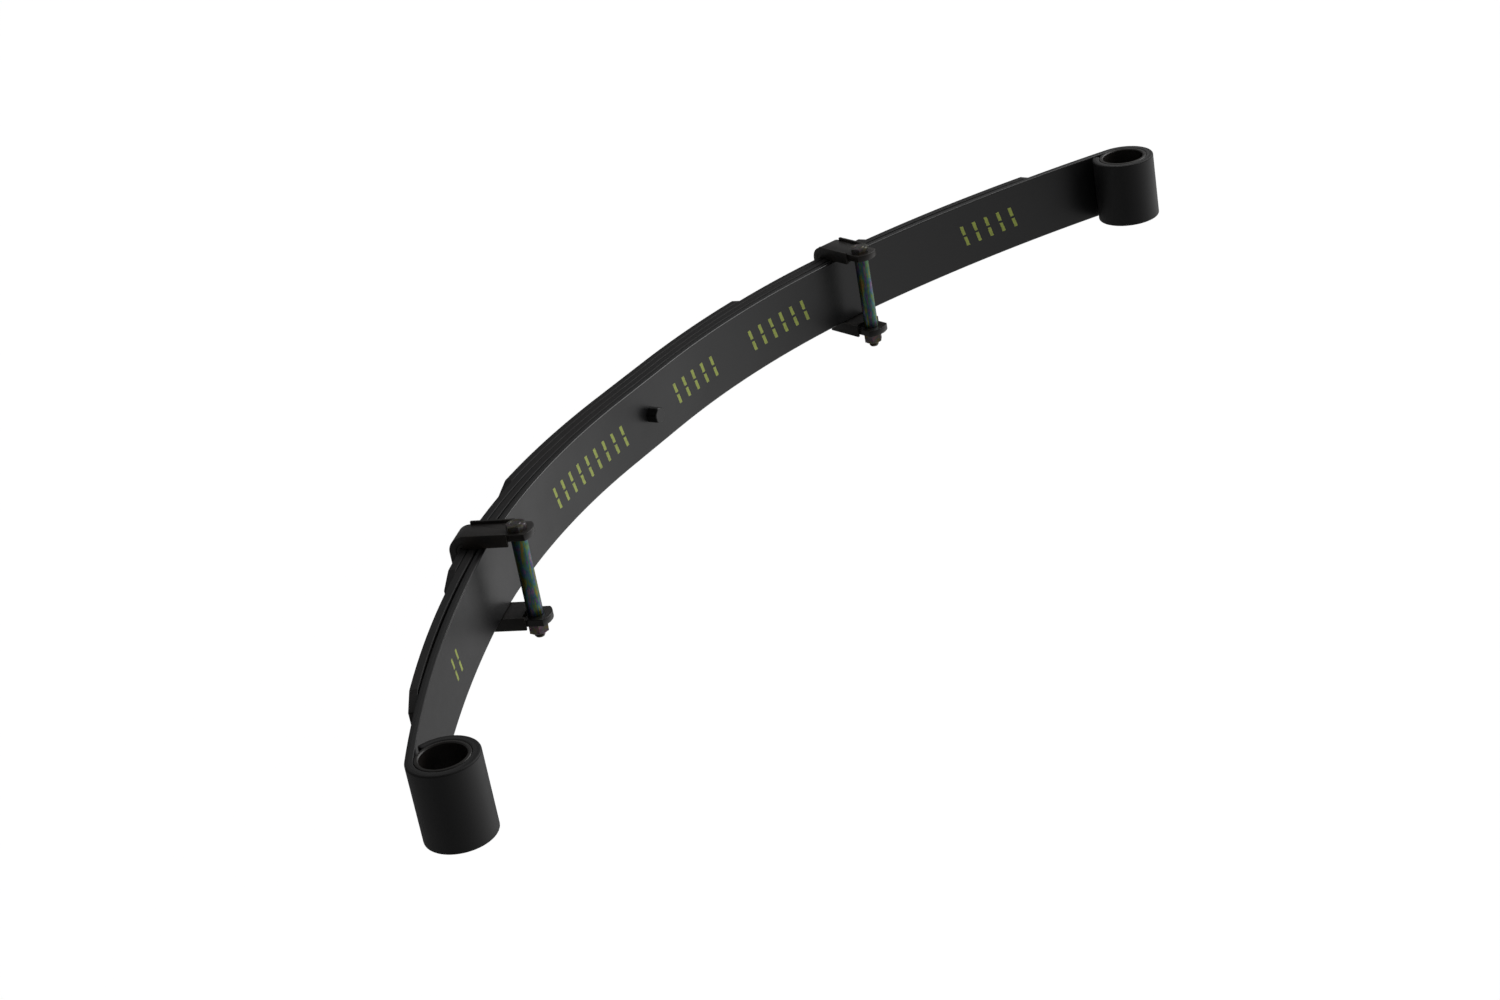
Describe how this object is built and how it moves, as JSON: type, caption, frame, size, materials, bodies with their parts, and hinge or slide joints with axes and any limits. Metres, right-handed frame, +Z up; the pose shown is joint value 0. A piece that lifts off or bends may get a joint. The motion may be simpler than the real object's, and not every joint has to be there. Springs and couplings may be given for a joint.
{
  "type": "leaf spring",
  "caption": "Semi-elliptic vehicle leaf spring: stacked curved leaves, rolled sleeved eyes, centre bolt and bolted rebound clips with moulded liners.",
  "frame": {"origin": "on the centre bolt's axis, on the flat upper face of the main leaf where the axle pad sits", "axes": "+X runs along the spring to the larger (front, fixed) eye, +Y across the leaves to the side with the clip bolt heads, +Z up, out of the hollow side"},
  "size_m": [1.3427, 0.1125, 0.3036],
  "materials": {
    "spring_paint": "satin black paint over shot-peened spring steel",
    "sleeve_steel": "thin black overspray on turned steel",
    "clip_paint": "black paint on bent flat bar",
    "liner_plastic": "moulded black plastic, fine grain",
    "yellow_zinc": "yellow-passivated zinc with rainbow tints",
    "dark_zinc": "yellow-passivated zinc dulled by black overspray"
  },
  "bodies": {
    "centre_pack": {"main_leaf_centre": "spring_paint", "second_leaf_centre": "spring_paint", "third_leaf_centre": "spring_paint", "fourth_leaf_centre": "spring_paint", "centre_bolt": "spring_paint", "centre_nut": "spring_paint"},
    "front_arm": {"main_leaf_front": "spring_paint", "second_leaf_front": "spring_paint", "third_leaf_front": "spring_paint", "fourth_leaf_front": "spring_paint", "front_eye_sleeve": "sleeve_steel", "front_clip_strap": "clip_paint", "front_clip_liner": "liner_plastic", "front_clip_rivet": "clip_paint", "front_clip_spacer": "yellow_zinc", "front_clip_bolt": "dark_zinc", "front_clip_nut": "dark_zinc"},
    "rear_arm": {"main_leaf_rear": "spring_paint", "second_leaf_rear": "spring_paint", "third_leaf_rear": "spring_paint", "fourth_leaf_rear": "spring_paint", "rear_eye_sleeve": "sleeve_steel", "rear_clip_strap": "clip_paint", "rear_clip_liner": "liner_plastic", "rear_clip_rivet": "clip_paint", "rear_clip_spacer": "yellow_zinc", "rear_clip_bolt": "dark_zinc", "rear_clip_nut": "dark_zinc"}
  },
  "joints": [
    {"name": "front_flex", "type": "hinge", "parent": "centre_pack", "child": "front_arm", "pos_m": [0.14, 0, -0.01], "axis": [0, 1, 0], "range_deg": [0, 20], "stiffness_Nm_per_rad": 3500},
    {"name": "rear_flex", "type": "hinge", "parent": "centre_pack", "child": "rear_arm", "pos_m": [-0.14, 0, -0.01], "axis": [0, -1, 0], "range_deg": [0, 20], "stiffness_Nm_per_rad": 3500}
  ]
}
